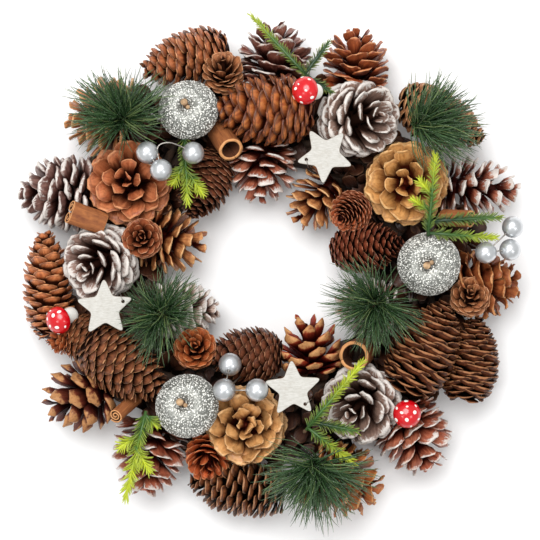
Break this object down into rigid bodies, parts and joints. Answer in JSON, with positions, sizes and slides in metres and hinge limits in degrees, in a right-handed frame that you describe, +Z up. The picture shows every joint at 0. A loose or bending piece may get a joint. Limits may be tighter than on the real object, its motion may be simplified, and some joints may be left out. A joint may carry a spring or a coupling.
{
  "type": "pine cone wreath",
  "caption": "Round Christmas wreath of pine cones with needle picks, spruce sprigs, cinnamon quills, glitter apples, wooden stars, toadstools and pearl berries on a vine ring; lies on a table.",
  "frame": {"origin": "centre of the wreath's bounding box at the level it lies on", "axes": "+Z up towards the viewer through the wreath's hole, +X to the right, +Y to the top of the wreath"},
  "size_m": [0.354, 0.3596, 0.1035],
  "materials": {
    "cone_brown": "matte dried cone scales, warm orange brown with darker edges",
    "cone_dark": "matte dried cone scales, dark red brown with pale rims",
    "cone_terracotta": "satin dried cone scales, terracotta",
    "cone_golden": "satin dried cone scales, golden tan with a dark red heart",
    "cone_tan": "matte dried cone scales, tan tips on red brown",
    "cone_frosted": "dried cone scales with a white frosted rim",
    "vine": "dark rough bark",
    "cinnamon": "dry rolled bark, fine lengthwise grain",
    "silver_glitter": "coarse silver glitter on foam",
    "star_wood": "thin off-white washed wood",
    "toadstool_red": "glossy red lacquer with white dots",
    "pearl_silver": "satin silver pearl lacquer",
    "needle_green": "fine semi-gloss deep green needles",
    "sprig_green": "soft moulded yellow-green spruce tips"
  },
  "bodies": {
    "root": {"closed_cone_1": "cone_brown", "closed_cone_2": "cone_brown", "closed_cone_3": "cone_dark", "closed_cone_4": "cone_brown", "closed_cone_5": "cone_brown", "closed_cone_6": "cone_dark", "closed_cone_7": "cone_dark", "closed_cone_8": "cone_dark", "closed_cone_9": "cone_dark", "closed_cone_10": "cone_tan", "rosette_cone_1": "cone_terracotta", "rosette_cone_2": "cone_golden", "rosette_cone_3": "cone_golden", "rosette_cone_4": "cone_frosted", "rosette_cone_5": "cone_frosted", "rosette_cone_6": "cone_frosted", "open_cone_1": "cone_tan", "open_cone_2": "cone_frosted", "open_cone_3": "cone_tan", "open_cone_4": "cone_tan", "open_cone_5": "cone_tan", "open_cone_6": "cone_frosted", "open_cone_7": "cone_dark", "open_cone_8": "cone_frosted", "open_cone_9": "cone_brown", "open_cone_10": "cone_frosted", "open_cone_11": "cone_brown", "open_cone_12": "cone_dark", "open_cone_13": "cone_frosted", "open_cone_15": "cone_frosted", "open_cone_16": "cone_frosted", "bud_cone_1": "cone_dark", "glitter_apple_1": "silver_glitter", "glitter_apple_2": "silver_glitter", "glitter_apple_3": "silver_glitter", "wooden_star_1": "star_wood", "wooden_star_2": "star_wood", "wooden_star_3": "star_wood", "toadstool_1": "toadstool_red", "toadstool_2": "toadstool_red", "toadstool_3": "toadstool_red", "cinnamon_stick_1": "cinnamon", "cinnamon_stick_2": "cinnamon", "cinnamon_stick_3": "cinnamon", "cinnamon_stick_4": "cinnamon", "cinnamon_stick_5": "cinnamon", "pearl_pick_1": "pearl_silver", "pearl_pick_2": "pearl_silver", "pearl_pick_3": "pearl_silver", "needle_tuft_1": "needle_green", "needle_tuft_2": "needle_green", "needle_tuft_3": "needle_green", "needle_tuft_4": "needle_green", "needle_tuft_5": "needle_green", "spruce_sprig_1": "sprig_green", "spruce_sprig_2": "sprig_green", "spruce_sprig_3": "sprig_green", "spruce_sprig_4": "sprig_green", "spruce_sprig_5": "sprig_green", "vine_ring": "vine"}
  },
  "joints": []
}
